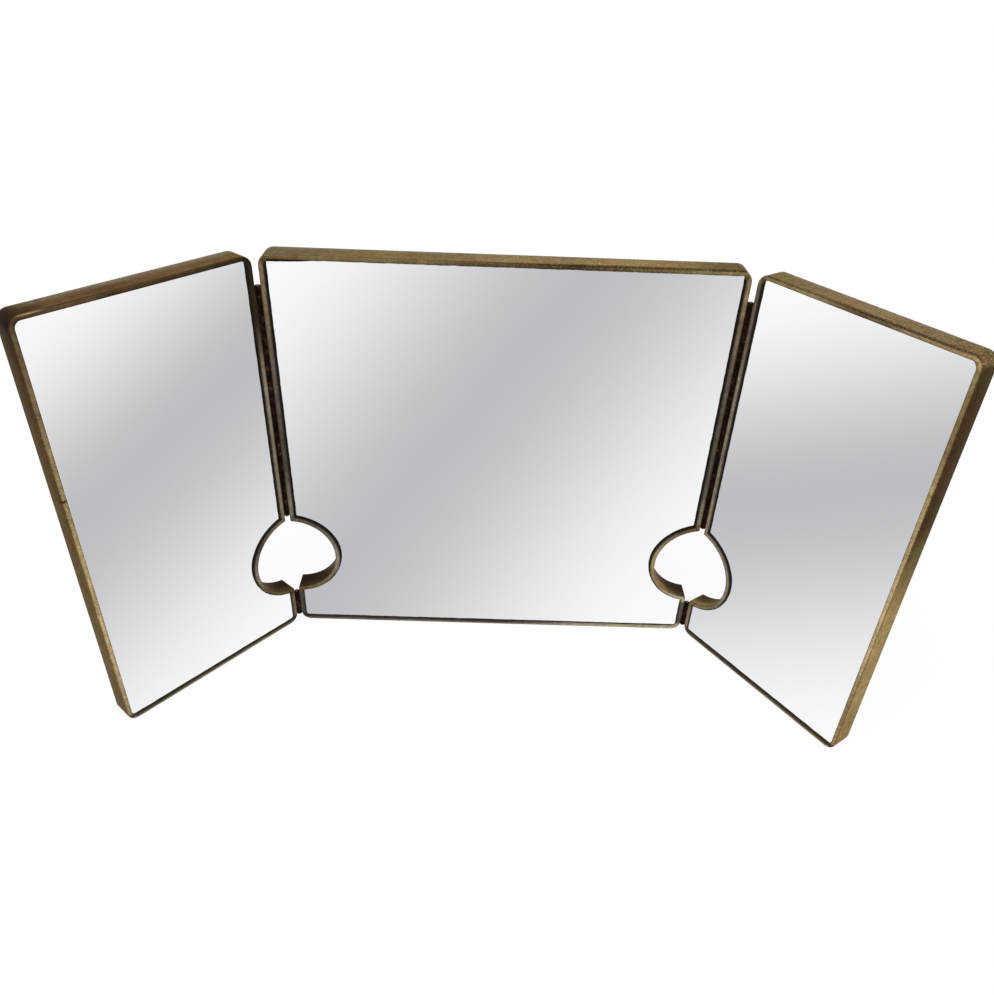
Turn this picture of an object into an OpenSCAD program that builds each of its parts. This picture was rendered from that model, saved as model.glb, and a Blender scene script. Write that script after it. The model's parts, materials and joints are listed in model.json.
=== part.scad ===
// Trifold vanity mirror: three flat mirrors in bent brass bar, hinged to fold over one another.
// Millimetres, +Z up. The origin is the middle of the centre frame's underside, and -Y is the front.
// The wings stand folded forward, as they do in use.

/* [Panels] */
// Outside width of the centre panel
center_w = 400; // [396:1:480]
// Outside width of each wing
wing_w = 190; // [150:1:197]
// Outside height of all three panels
panel_h = 390; // [320:5:460]
// Fold of the left wing, forward from flat, in degrees
left_fold_angle = 49; // [0:1:175]
// Fold of the right wing, forward from flat, in degrees
right_fold_angle = 55; // [0:1:175]

/* [Frame bar] */
// Width of the flat bar, which is the depth of a panel
bar_depth = 20; // [19.5:0.5:30]
// Thickness of the flat bar
bar_t = 4; // [3.2:0.1:5]
// Inside radius of the four bent corners
bend_inner_r = 5.5; // [3:0.5:12]

/* [Finger openings] */
// Radius of the arc that each of two neighbouring frames takes round their opening
ring_r = 43; // [30:1:50]
// Height of the centre of the arc
ring_z = 85; // [84:1:110]
// Distance of that centre outside the hinge side of its own frame
ring_center_gap = 4.5; // [2.5:0.5:8]
// The arcs are bent by hand, so each differs a little from the others. What each adds to the radius of the
// arc, to the distance of its centre outside the hinge side, and to the height of its centre
left_wing_bend = [-0.3, 1.0, 0.1];
center_left_bend = [-1.5, -3.9, -0.3];
center_right_bend = [-0.3, 0.3, 1.8];
right_wing_bend = [0, 0.4, -0.6];
// Rounding of the bar where it turns from the hinge line into the opening
ring_corner_r = 1.2; // [0.6:0.1:2]

/* [Hinges] */
// Gap between neighbouring frames, which the hinge barrel fills
hinge_gap = 5; // [4.8:0.1:7]
// How far the hinge axis stands in front of the frames
axis_proud = 0.3; // [0.25:0.05:1]
// Distance from the top of a panel down to the upper hinge
hinge_top_gap = 26; // [20:1:60]
// Distance from the finger opening up to the upper hinge
hinge_ring_gap = 6; // [3:0.5:20]
// Distance from the lower hinge up to the finger opening
lower_hinge_gap = 4; // [3:0.5:10]
// Height of the lower hinge's bottom end
lower_hinge_z = 8; // [4:0.5:12]
// Length that each knuckle comes close to
knuckle_pitch = 15; // [8:0.5:25]
// Gap between the end faces of neighbouring knuckles
knuckle_gap = 0.3; // [0.25:0.05:0.6]
// Thickness of a hinge leaf
leaf_t = 0.8; // [0.5:0.1:1]
// Depth of a hinge leaf behind its axis
leaf_depth = 12; // [9:0.5:15]
// Radius of the hinge pin
pin_r = 1; // [0.8:0.05:1.2]

/* [Mirror and backing] */
// Depth of the glass behind the front of the bar
glass_recess = 1.2; // [0.5:0.1:1.6]
// Thickness of the mirror glass
glass_t = 3; // [2:0.5:3]
// Thickness of the felt between the glass and the board
felt_t = 1; // [0.5:0.1:1]
// Distance from the bar to the edge of the felt
felt_edge = 3; // [1:0.5:8]
// Thickness of the wooden back board
board_t = 12; // [8:0.5:12]
// Gap around the glass and the board, inside the bar
edge_gap = 0.3; // [0.2:0.05:0.6]

/* [Lugs and screws] */
// Thickness of the brazed lugs that hold the board
lug_t = 1.2; // [0.8:0.1:1.2]
// Width of a lug, and of its round end
lug_w = 12; // [9:0.5:16]
// Distance from a corner of the panel to the nearest lug
lug_corner_gap = 90; // [40:1:95]
// Distance from the finger opening up to the lug above it
lug_ring_gap = 40; // [20:1:60]
// Radius of a wood screw's shank
wood_screw_r = 1.2; // [0.8:0.1:1.5]
// Length of a wood screw under its head
wood_screw_len = 9; // [6:0.5:9]
// Radius of a wood screw's round head
wood_head_r = 2.5; // [2:0.1:3]
// Height of a wood screw's round head
wood_head_h = 1.3; // [1:0.1:1.4]
// Radius of a hinge screw's shank
hinge_screw_r = 1; // [0.8:0.1:1.2]
// Length of a hinge screw, head included
hinge_screw_len = 4; // [3:0.1:4.3]
// Radius of a hinge screw's countersunk head
hinge_head_r = 1.9; // [1.6:0.1:2.2]
// Distance from the end of a hinge to its nearest screw
hinge_screw_edge = 7; // [5:0.5:9]
// Spacing that the hinge screws come close to
hinge_screw_pitch = 40; // [20:1:60]
// Width and depth of a screw's slot
slot_w = 0.5; // [0.4:0.1:0.8]

/* [Hidden] */
$fn = 64;

// Clearances that everything below shares
knuckle_clear = 0.3;
pin_clear = 0.05;
screw_clear = 0.05;
// How far a cutting tool runs past the surface that it cuts
cut = 1;
// Smallest corner radius of the glass, the felt and the board
least_corner_r = 1;

// Depths behind the front plane of a panel, in the order in which they are stacked
glass_back = glass_recess + glass_t;
felt_back = glass_back + felt_t;
board_back = felt_back + board_t;
lug_back = board_back + lug_t;

// The hinge axis, seen from the front plane of a panel and from its hinge side
axis_x = hinge_gap / 2;
knuckle_r = axis_x - knuckle_clear;
leaf_inner_x = axis_x - leaf_t;
notch_y = sqrt(pow(knuckle_r + knuckle_clear, 2) - pow(leaf_inner_x, 2)) + knuckle_clear;
hinge_screw_y = (notch_y + leaf_depth) / 2;
hinge_head_h = hinge_head_r - hinge_screw_r;

// Each arc as its radius, the distance of its centre outside the hinge side, and the height of its centre
function bent(bend) = [ring_r + bend[0], ring_center_gap + bend[1], ring_z + bend[2]];
left_wing_arcs = [bent(left_wing_bend)];
center_arcs = [bent(center_left_bend), bent(center_right_bend)];
right_wing_arcs = [bent(right_wing_bend)];

// The outside of an arc, and the heights of both hinges
ring_outer_r = ring_r + bar_t;
upper_hinge = [ring_z + ring_r + hinge_ring_gap, panel_h - hinge_top_gap];
lower_hinge = [lower_hinge_z, ring_z - ring_r - lower_hinge_gap];

// An odd count of knuckles, so that the centre leaf holds both ends of the pin
function knuckle_count(span) = 2 * max(1, round(((span[1] - span[0]) / knuckle_pitch - 1) / 2)) + 1;

// Heights of the screws in a leaf, evenly spaced between its ends
function screw_count(span) =
    max(2, 1 + round((span[1] - span[0] - 2 * hinge_screw_edge) / hinge_screw_pitch));
function screw_heights(span) = [
    for (i = [0 : screw_count(span) - 1])
        let (share = i / (screw_count(span) - 1))
            span[0] + hinge_screw_edge + share * (span[1] - span[0] - 2 * hinge_screw_edge)
];

// Ways in which a lug can point, as angles turned up from +x
outward = 0;
upward = 90;
inward = 180;
downward = -90;

// Where the lugs sit along a panel: the foot of each on the bar, and the way that it points
function side_lugs(foot_x, turn, low_z) = [
    [foot_x, low_z, turn],
    [foot_x, panel_h - lug_corner_gap, turn]
];
hinge_side_lug_z = ring_z + ring_outer_r + lug_ring_gap;
center_lug_places = concat(
    side_lugs(bar_t, outward, hinge_side_lug_z),
    side_lugs(center_w - bar_t, inward, hinge_side_lug_z),
    [for (x = [lug_corner_gap, center_w - lug_corner_gap]) [x, bar_t, upward]],
    [for (x = [lug_corner_gap, center_w - lug_corner_gap]) [x, panel_h - bar_t, downward]]
);
wing_lug_places = concat(
    side_lugs(bar_t, outward, hinge_side_lug_z),
    side_lugs(wing_w - bar_t, inward, lug_corner_gap),
    [[wing_w / 2, bar_t, upward], [wing_w / 2, panel_h - bar_t, downward]]
);

// --- Placing: panel space has x from the hinge side, y from the front plane back, z up ---

// Stands an outline drawn in x and z between two depths
module stand(front, back) {
    translate([0, back, 0])
        rotate([90, 0, 0])
            linear_extrude(back - front) children();
}

module place_center() {
    translate([-center_w / 2, -bar_depth / 2, 0]) children();
}

// Hinge space has its origin on the hinge axis and x outward from the centre panel
module place_right_hinge(fold) {
    translate([center_w / 2 + axis_x, -bar_depth / 2 - axis_proud, 0])
        rotate([0, 0, -fold]) children();
}

module place_left_hinge(fold) {
    mirror([1, 0, 0]) place_right_hinge(fold) children();
}

// Panel space inside hinge space
module place_panel() {
    translate([axis_x, axis_proud, 0]) children();
}

module place_right_wing() {
    place_right_hinge(right_fold_angle) place_panel() children();
}

module place_left_wing() {
    place_left_hinge(left_fold_angle) place_panel() children();
}

// --- Panel outlines ---

module rounded_box(w, h, r) {
    translate([0, r]) square([w, h - 2 * r]);
    translate([r, 0]) square([w - 2 * r, h]);
    for (x = [r, w - r], y = [r, h - r])
        translate([x, y]) circle(r);
}

// Draws its children, made for the hinge side at x = 0, at the first or at the second hinge side of a panel
module on_hinge_side(w, number) {
    if (number == 0) children();
    else translate([w, 0, 0]) mirror([1, 0, 0]) children();
}

// A panel's outline drawn in by inset all round, with a bite for each arc beside it
module panel_outline(w, inset, arcs) {
    corner_r = max(bend_inner_r + bar_t - inset, least_corner_r);
    difference() {
        translate([inset, inset]) rounded_box(w - 2 * inset, panel_h - 2 * inset, corner_r);
        for (i = [0 : len(arcs) - 1])
            on_hinge_side(w, i) translate([-arcs[i][1], arcs[i][2]]) circle(arcs[i][0] + inset);
    }
}

// The two sharp corners that an arc leaves on the hinge side, and their rounded form
module ring_corners(arc, round_form) {
    rise = sqrt(pow(arc[0] + ring_corner_r, 2) - pow(arc[1] + ring_corner_r, 2));
    for (way = [-1, 1])
        translate([ring_corner_r, arc[2] + way * rise])
            if (round_form) circle(ring_corner_r);
            else translate([-ring_corner_r, way > 0 ? -ring_corner_r : 0])
                square(ring_corner_r);
}

// The same corners on every hinge side of a panel
module each_ring_corner(w, arcs, round_form) {
    for (i = [0 : len(arcs) - 1])
        on_hinge_side(w, i) ring_corners(arcs[i], round_form);
}

module bar_outline(w, arcs) {
    difference() {
        panel_outline(w, 0, arcs);
        panel_outline(w, bar_t, arcs);
        each_ring_corner(w, arcs, false);
    }
    each_ring_corner(w, arcs, true);
}

// --- Screws: along +x, with the head's outer face at x = 0 ---

module hinge_screw_form(grow) {
    rotate([0, 90, 0]) {
        cylinder(r = hinge_screw_r + grow, h = hinge_screw_len + grow);
        translate([0, 0, -grow])
            cylinder(r1 = hinge_head_r + grow, r2 = hinge_screw_r + grow, h = hinge_head_h + grow);
    }
}

module hinge_screw() {
    difference() {
        hinge_screw_form(0);
        translate([-cut, -hinge_head_r - cut, -slot_w / 2])
            cube([cut + slot_w, 2 * (hinge_head_r + cut), slot_w]);
    }
}

// Calls its children at each screw of a leaf, in hinge space
module at_hinge_screws(span) {
    for (z = screw_heights(span))
        translate([leaf_inner_x, hinge_screw_y, z]) children();
}

module hinge_side_screws() {
    at_hinge_screws(upper_hinge) hinge_screw();
    at_hinge_screws(lower_hinge) hinge_screw();
}

// The screws' holes, cut into whatever lies beside the hinge
module hinge_side_holes() {
    at_hinge_screws(upper_hinge) hinge_screw_form(screw_clear);
    at_hinge_screws(lower_hinge) hinge_screw_form(screw_clear);
}

// --- Panels, in panel space ---

module panel_frame(w, arcs) {
    difference() {
        stand(0, bar_depth) bar_outline(w, arcs);
        for (i = [0 : len(arcs) - 1])
            on_hinge_side(w, i) translate([-axis_x, -axis_proud, 0]) hinge_side_holes();
    }
}

module panel_mirror(w, arcs) {
    stand(glass_recess, glass_back) panel_outline(w, bar_t + edge_gap, arcs);
}

module panel_felt(w, arcs) {
    stand(glass_back, felt_back) panel_outline(w, bar_t + felt_edge, arcs);
}

module panel_board(w, arcs, places) {
    difference() {
        stand(felt_back, board_back) panel_outline(w, bar_t + edge_gap, arcs);
        at_lugs(places)
            translate([0, lug_back - wood_screw_len - screw_clear, 0])
                rotate([-90, 0, 0]) cylinder(r = wood_screw_r + screw_clear, h = wood_screw_len);
    }
}

// Calls its children at the round end of each lug, at the front plane
module at_lugs(places) {
    for (p = places)
        translate([p[0], 0, p[1]]) rotate([0, -p[2], 0]) translate([lug_w / 2, 0, 0]) children();
}

module panel_lugs(places) {
    at_lugs(places)
        stand(board_back, lug_back)
            difference() {
                union() {
                    circle(lug_w / 2);
                    translate([-lug_w / 2, -lug_w / 2]) square([lug_w / 2, lug_w]);
                }
                circle(wood_screw_r + screw_clear);
            }
}

// A domed head, cut from a ball that is as wide as the head where the two meet the lug
module wood_screw_head() {
    ball_r = (pow(wood_head_r, 2) + pow(wood_head_h, 2)) / (2 * wood_head_h);
    intersection() {
        translate([0, wood_head_h - ball_r, 0]) sphere(ball_r);
        rotate([-90, 0, 0]) cylinder(r = wood_head_r, h = wood_head_h);
    }
}

module panel_lug_screws(places) {
    at_lugs(places)
        translate([0, lug_back, 0])
            difference() {
                union() {
                    wood_screw_head();
                    rotate([90, 0, 0]) cylinder(r = wood_screw_r, h = wood_screw_len);
                }
                translate([-wood_head_r - cut, wood_head_h - slot_w, -slot_w / 2])
                    cube([2 * (wood_head_r + cut), slot_w + cut, slot_w]);
            }
}

// --- Hinge parts, in hinge space, with the leaf on the +x side ---

// One leaf: its plate, and the knuckles whose number has the given parity
module leaf(span, parity) {
    count = knuckle_count(span);
    pitch = (span[1] - span[0]) / count;
    difference() {
        union() {
            translate([leaf_inner_x, notch_y, span[0]])
                cube([leaf_t, leaf_depth - notch_y, span[1] - span[0]]);
            for (i = [parity : 2 : count - 1])
                translate([0, 0, span[0] + i * pitch + knuckle_gap / 2]) {
                    cylinder(r = knuckle_r, h = pitch - knuckle_gap);
                    translate([leaf_inner_x, 0, 0]) cube([leaf_t, notch_y, pitch - knuckle_gap]);
                }
        }
        translate([0, 0, span[0] - cut])
            cylinder(r = pin_r + pin_clear, h = span[1] - span[0] + 2 * cut);
        at_hinge_screws(span) hinge_screw_form(screw_clear);
    }
}

// A hinge pin with round ends that stand out of the barrel
module hinge_pin(span) {
    translate([0, 0, span[0]]) cylinder(r = pin_r, h = span[1] - span[0]);
    for (z = span)
        translate([0, 0, z]) sphere(pin_r);
}

// The centre panel's leaves lie on the other side of the axis
module place_right_center_leaf() {
    place_right_hinge(0) mirror([1, 0, 0]) children();
}

module place_left_center_leaf() {
    place_left_hinge(0) mirror([1, 0, 0]) children();
}

// --- The sub-parts ---

module center_frame() {
    color("darkgoldenrod") place_center() panel_frame(center_w, center_arcs);
}

module center_mirror() {
    color("lightsteelblue") place_center() panel_mirror(center_w, center_arcs);
}

module center_felt() {
    color("darkgreen") place_center() panel_felt(center_w, center_arcs);
}

module center_back_board() {
    color("burlywood") place_center() panel_board(center_w, center_arcs, center_lug_places);
}

module center_lugs() {
    color("goldenrod") place_center() panel_lugs(center_lug_places);
}

module center_lug_screws() {
    color("gold") place_center() panel_lug_screws(center_lug_places);
}

module left_frame() {
    color("darkgoldenrod") place_left_wing() panel_frame(wing_w, left_wing_arcs);
}

module left_mirror() {
    color("lightsteelblue") place_left_wing() panel_mirror(wing_w, left_wing_arcs);
}

module left_felt() {
    color("darkgreen") place_left_wing() panel_felt(wing_w, left_wing_arcs);
}

module left_back_board() {
    color("burlywood") place_left_wing() panel_board(wing_w, left_wing_arcs, wing_lug_places);
}

module left_lugs() {
    color("goldenrod") place_left_wing() panel_lugs(wing_lug_places);
}

module left_lug_screws() {
    color("gold") place_left_wing() panel_lug_screws(wing_lug_places);
}

module right_frame() {
    color("darkgoldenrod") place_right_wing() panel_frame(wing_w, right_wing_arcs);
}

module right_mirror() {
    color("lightsteelblue") place_right_wing() panel_mirror(wing_w, right_wing_arcs);
}

module right_felt() {
    color("darkgreen") place_right_wing() panel_felt(wing_w, right_wing_arcs);
}

module right_back_board() {
    color("burlywood") place_right_wing() panel_board(wing_w, right_wing_arcs, wing_lug_places);
}

module right_lugs() {
    color("goldenrod") place_right_wing() panel_lugs(wing_lug_places);
}

module right_lug_screws() {
    color("gold") place_right_wing() panel_lug_screws(wing_lug_places);
}

module left_center_leaf(span) {
    color("saddlebrown") place_left_center_leaf() leaf(span, 0);
}

module left_wing_leaf(span) {
    color("sienna") place_left_hinge(left_fold_angle) leaf(span, 1);
}

module left_pin(span) {
    color("dimgray") place_left_hinge(0) hinge_pin(span);
}

module left_hinge_center_screws() {
    color("gold") place_left_center_leaf() hinge_side_screws();
}

module left_hinge_wing_screws() {
    color("gold") place_left_hinge(left_fold_angle) hinge_side_screws();
}

module right_center_leaf(span) {
    color("saddlebrown") place_right_center_leaf() leaf(span, 0);
}

module right_wing_leaf(span) {
    color("sienna") place_right_hinge(right_fold_angle) leaf(span, 1);
}

module right_pin(span) {
    color("dimgray") place_right_hinge(0) hinge_pin(span);
}

module right_hinge_center_screws() {
    color("gold") place_right_center_leaf() hinge_side_screws();
}

module right_hinge_wing_screws() {
    color("gold") place_right_hinge(right_fold_angle) hinge_side_screws();
}

center_frame();
center_mirror();
center_felt();
center_back_board();
center_lugs();
center_lug_screws();
left_frame();
left_mirror();
left_felt();
left_back_board();
left_lugs();
left_lug_screws();
right_frame();
right_mirror();
right_felt();
right_back_board();
right_lugs();
right_lug_screws();
left_center_leaf(upper_hinge);  // left_upper_hinge_center_leaf
left_wing_leaf(upper_hinge);  // left_upper_hinge_wing_leaf
left_pin(upper_hinge);  // left_upper_hinge_pin
left_center_leaf(lower_hinge);  // left_lower_hinge_center_leaf
left_wing_leaf(lower_hinge);  // left_lower_hinge_wing_leaf
left_pin(lower_hinge);  // left_lower_hinge_pin
left_hinge_center_screws();
left_hinge_wing_screws();
right_center_leaf(upper_hinge);  // right_upper_hinge_center_leaf
right_wing_leaf(upper_hinge);  // right_upper_hinge_wing_leaf
right_pin(upper_hinge);  // right_upper_hinge_pin
right_center_leaf(lower_hinge);  // right_lower_hinge_center_leaf
right_wing_leaf(lower_hinge);  // right_lower_hinge_wing_leaf
right_pin(lower_hinge);  // right_lower_hinge_pin
right_hinge_center_screws();
right_hinge_wing_screws();
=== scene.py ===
import json
import math

import bmesh
import bpy
from mathutils import Matrix, Vector

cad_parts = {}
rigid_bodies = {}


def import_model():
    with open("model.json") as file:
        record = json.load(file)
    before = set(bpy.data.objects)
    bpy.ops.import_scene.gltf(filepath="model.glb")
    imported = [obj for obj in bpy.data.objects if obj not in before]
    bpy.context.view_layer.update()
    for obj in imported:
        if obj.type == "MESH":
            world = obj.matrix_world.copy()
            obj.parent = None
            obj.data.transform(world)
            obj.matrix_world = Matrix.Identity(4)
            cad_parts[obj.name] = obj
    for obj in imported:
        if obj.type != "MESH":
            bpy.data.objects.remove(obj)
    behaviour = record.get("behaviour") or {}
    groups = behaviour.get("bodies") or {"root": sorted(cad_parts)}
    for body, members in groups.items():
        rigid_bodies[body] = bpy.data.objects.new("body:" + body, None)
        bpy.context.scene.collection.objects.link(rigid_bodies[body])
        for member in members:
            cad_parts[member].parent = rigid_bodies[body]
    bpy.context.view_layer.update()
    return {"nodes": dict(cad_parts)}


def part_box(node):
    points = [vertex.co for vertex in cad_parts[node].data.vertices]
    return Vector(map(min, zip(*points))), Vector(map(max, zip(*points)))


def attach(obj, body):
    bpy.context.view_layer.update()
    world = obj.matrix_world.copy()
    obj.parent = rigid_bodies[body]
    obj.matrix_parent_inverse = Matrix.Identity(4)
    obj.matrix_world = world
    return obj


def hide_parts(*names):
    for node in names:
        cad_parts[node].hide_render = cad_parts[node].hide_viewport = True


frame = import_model()


# --- The three frames ---
# Each is one loop of brass flat bar stood on edge, with round bends at its corners, and with half of a round
# finger opening bent into it beside each hinge. Its two ends are brazed together. The brass was never
# lacquered, and has gone brown and olive, with paler metal where hands have rubbed it. Light and shade are
# also painted into its tones, face by face.

MM = 0.001
center_low, center_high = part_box("center_frame")
panel_height = center_high.z
bar_depth = center_high.y - center_low.y
bar_thickness = 4 * MM
bend_radius = 9.5 * MM
bend_segments = 12
mouth_radius = 1.2 * MM
mouth_segments = 5
arris = 0.35 * MM
same_point = 0.001 * MM
eased_above = math.radians(30)
smooth_below = math.radians(32)

# The arc that a frame takes round each opening beside it: its radius, how far its middle lies outside the
# hinge side, and the height of that middle. Each was bent by hand, so no two are the same.
ARCS = {
    "center": [(41.5 * MM, 0.6 * MM, 84.7 * MM), (42.7 * MM, 4.8 * MM, 86.8 * MM)],
    "left": [(42.7 * MM, 5.5 * MM, 85.1 * MM)],
    "right": [(43.0 * MM, 4.9 * MM, 84.4 * MM)],
}
arc_segments = 120

pin_low, pin_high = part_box("right_upper_hinge_pin")
hinge_axis = (pin_low + pin_high) / 2
axis_reach = hinge_axis.x - center_high.x
axis_proud = center_low.y - hinge_axis.y
fold = {"left": math.radians(49), "right": math.radians(55)}


def wing_width(side):
    low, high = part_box(side + "_frame")
    return (high.x - low.x - bar_depth * math.sin(fold[side])) / math.cos(fold[side])


panel_width = {
    "center": center_high.x - center_low.x,
    "left": wing_width("left"),
    "right": wing_width("right"),
}
panel_body = {"center": "center_panel", "left": "left_wing", "right": "right_wing"}


def panel_space(side):
    """The way to the frame from a panel's own space: x from its hinge side, y back from its front, z up."""
    if side == "center":
        return Matrix.Translation((center_low.x, center_low.y, 0))
    turned = Matrix.Translation((hinge_axis.x, hinge_axis.y, 0)) @ Matrix.Rotation(-fold[side], 4, "Z")
    right_wing = turned @ Matrix.Translation((axis_reach, axis_proud, 0))
    return right_wing if side == "right" else Matrix.Scale(-1, 4, (1, 0, 0)) @ right_wing


def select_only(piece):
    if bpy.context.object and bpy.context.object.mode != "OBJECT":
        bpy.ops.object.mode_set(mode="OBJECT")
    bpy.ops.object.select_all(action="DESELECT")
    piece.select_set(True)
    bpy.context.view_layer.objects.active = piece


def select_in(piece, kind, wanted):
    """Opens a piece for editing with only those faces or edges selected that are wanted."""
    select_only(piece)
    bpy.ops.object.mode_set(mode="EDIT")
    bpy.ops.mesh.select_mode(type=kind)
    bpy.ops.mesh.select_all(action="DESELECT")
    shell = bmesh.from_edit_mesh(piece.data)
    for part in shell.faces if kind == "FACE" else shell.edges:
        part.select_set(wanted(part))
    bmesh.update_edit_mesh(piece.data)


def runs_front_to_back(edge):
    along = (edge.verts[1].co - edge.verts[0].co).normalized()
    return abs(along.y) > 0.999


def cut_away(piece, tool):
    """Cuts a tool's shape out of a piece, and takes the tool away."""
    select_only(piece)
    hole = piece.modifiers.new("hole", "BOOLEAN")
    hole.operation = "DIFFERENCE"
    hole.solver = "EXACT"
    hole.object = tool
    bpy.ops.object.modifier_apply(modifier=hole.name)
    bpy.data.objects.remove(tool)


def hinge_sides(side):
    """Where a panel's hinge sides lie across it."""
    return [0, panel_width[side]] if side == "center" else [0]


def arc_middle(side, number):
    """How far across a panel the middle of one of its arcs lies, which is a little outside the hinge side."""
    gap = ARCS[side][number][1]
    return panel_width[side] + gap if number else -gap


def panel_slab(name, side, inset, front, back):
    """A plate in the panel's outline, drawn in by inset, between two depths, with a bite per opening."""
    width = panel_width[side]
    bpy.ops.object.select_all(action="DESELECT")
    bpy.ops.mesh.primitive_cube_add(size=1, location=(width / 2, (front + back) / 2, panel_height / 2))
    slab = bpy.context.object
    slab.name = name
    slab.scale = (width - 2 * inset, back - front, panel_height - 2 * inset)
    bpy.ops.object.transform_apply(location=True, rotation=True, scale=True)
    select_in(slab, "EDGE", runs_front_to_back)
    bpy.ops.mesh.bevel(offset=bend_radius - inset, segments=bend_segments, affect="EDGES")
    bpy.ops.object.mode_set(mode="OBJECT")
    for number, (radius, gap, height) in enumerate(ARCS[side]):
        bpy.ops.mesh.primitive_cylinder_add(
            vertices=arc_segments,
            radius=radius + inset,
            depth=3 * bar_depth,
            location=(arc_middle(side, number), bar_depth / 2, height),
            rotation=(math.pi / 2, 0, 0),
        )
        cut_away(slab, bpy.context.object)
    return slab


def ease_edges(piece, width, segments, slot=-1):
    """Takes the sharpness off every edge, and gives the new faces a material slot of their own if asked."""
    select_only(piece)
    easing = piece.modifiers.new("easing", "BEVEL")
    easing.width = width
    easing.segments = segments
    easing.limit_method = "ANGLE"
    easing.angle_limit = eased_above
    easing.material = slot
    bpy.ops.object.modifier_apply(modifier=easing.name)


def set_in_place(piece, way, body):
    """Moves a finished piece to its place on a body, with its normals outward and its curves smooth."""
    piece.matrix_world = way
    select_only(piece)
    bpy.ops.object.transform_apply(location=True, rotation=True, scale=True)
    bpy.ops.object.mode_set(mode="EDIT")
    bpy.ops.mesh.select_all(action="SELECT")
    bpy.ops.mesh.remove_doubles(threshold=same_point)
    bpy.ops.mesh.normals_make_consistent(inside=False)
    bpy.ops.object.mode_set(mode="OBJECT")
    bpy.ops.object.shade_smooth_by_angle(angle=smooth_below)
    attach(piece, body)


def panel_frame(side):
    loop = panel_slab(side + "_bar", side, 0, 0, bar_depth)
    cut_away(loop, panel_slab(side + "_inside", side, bar_thickness, -bar_depth, 2 * bar_depth))
    mouths = [
        (x, height + way * math.sqrt(radius ** 2 - gap ** 2))
        for x, (radius, gap, height) in zip(hinge_sides(side), ARCS[side])
        for way in (-1, 1)
    ]
    found_within = 0.1 * MM

    def is_mouth_corner(edge):
        middle = (edge.verts[0].co + edge.verts[1].co) / 2
        return runs_front_to_back(edge) and any(
            abs(middle.x - x) < found_within and abs(middle.z - z) < found_within for x, z in mouths
        )

    select_in(loop, "EDGE", is_mouth_corner)
    bpy.ops.mesh.bevel(offset=mouth_radius, segments=mouth_segments, affect="EDGES")
    bpy.ops.object.mode_set(mode="OBJECT")
    loop.data.materials.append(frame_brass(side))
    loop.data.materials.append(frame_brass(side, dark_arrises=True))
    ease_edges(loop, arris, 2, slot=1)
    set_in_place(loop, panel_space(side), panel_body[side])
    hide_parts(side + "_frame")


class Tone:
    """A socket of a finish that carries a value, a colour or a vector, with sums written as sums."""

    def __init__(self, finish, socket):
        self.finish = finish
        self.socket = socket

    def __add__(self, other):
        return self.finish.maths("ADD", self, other)

    __radd__ = __add__

    def __sub__(self, other):
        return self.finish.maths("SUBTRACT", self, other)

    def __rsub__(self, other):
        return self.finish.maths("SUBTRACT", other, self)

    def __mul__(self, other):
        return self.finish.maths("MULTIPLY", self, other)

    __rmul__ = __mul__

    def __truediv__(self, other):
        return self.finish.maths("DIVIDE", self, other)

    def __neg__(self):
        return self.finish.maths("MULTIPLY", self, -1)


class Finish:
    """A material or a sky that is put together from nodes."""

    def __init__(self, owner):
        self.owner = owner
        owner.use_nodes = True
        self.nodes = owner.node_tree.nodes
        self.links = owner.node_tree.links

    def give(self, socket, value):
        if isinstance(value, Tone):
            self.links.new(value.socket, socket)
        else:
            socket.default_value = value

    def node(self, kind, settings=None, sockets=None, out=0):
        """Adds a node: its settings first, then the values or links of its sockets."""
        made = self.nodes.new("ShaderNode" + kind)
        for setting, value in (settings or {}).items():
            if setting == "stops":
                steps = made.color_ramp.elements
                steps[0].position, steps[0].color = value[0]
                steps[-1].position, steps[-1].color = value[-1]
                for position, tint in value[1:-1]:
                    steps.new(position).color = tint
            else:
                setattr(made, setting, value)
        for socket, value in (sockets or {}).items():
            self.give(made.inputs[socket], value)
        return Tone(self, made.outputs[out])

    def maths(self, operation, first, second=0.0):
        return self.node("Math", {"operation": operation}, {0: first, 1: second})

    def least(self, first, second):
        return self.maths("MINIMUM", first, second)

    def rise(self, value, start, end):
        """0 before start and 1 after end, with a smooth way between them."""
        return self.node(
            "MapRange",
            {"interpolation_type": "SMOOTHSTEP"},
            {"Value": value, "From Min": start, "From Max": end},
        )

    def blend(self, share, under, over, way="MIX"):
        """Lays one colour over another by a share, as paint does."""
        return self.node(
            "Mix",
            {"data_type": "RGBA", "blend_type": way},
            {0: share, 6: under, 7: over},
            out=2,
        )

    def ramp(self, value, stops):
        return self.node("ValToRGB", {"stops": stops}, {0: value})

    def split(self, vector):
        parts = self.node("SeparateXYZ", {}, {0: vector}).socket.node.outputs
        return Tone(self, parts[0]), Tone(self, parts[1]), Tone(self, parts[2])

    def stretched(self, vector, factors):
        return self.node("VectorMath", {"operation": "MULTIPLY"}, {0: vector, 1: factors})

    def cloud(self, vector, size, detail=3.0, roughness=0.55):
        """Noise from 0 to 1 whose patches are about size across, in the vector's own unit."""
        noise = self.node(
            "TexNoise",
            {"noise_dimensions": "3D"},
            {"Vector": vector, "Scale": 1 / size, "Detail": detail, "Roughness": roughness},
        )
        return self.node("MapRange", {}, {"Value": noise, "From Min": 0.25, "From Max": 0.75})


def colour(code):
    """A six-figure sRGB colour as the linear colour that a socket takes."""
    parts = [int(code[i:i + 2], 16) / 255 for i in (0, 2, 4)]
    linear = [p / 12.92 if p <= 0.04045 else ((p + 0.055) / 1.055) ** 2.4 for p in parts]
    return (*linear, 1.0)


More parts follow.
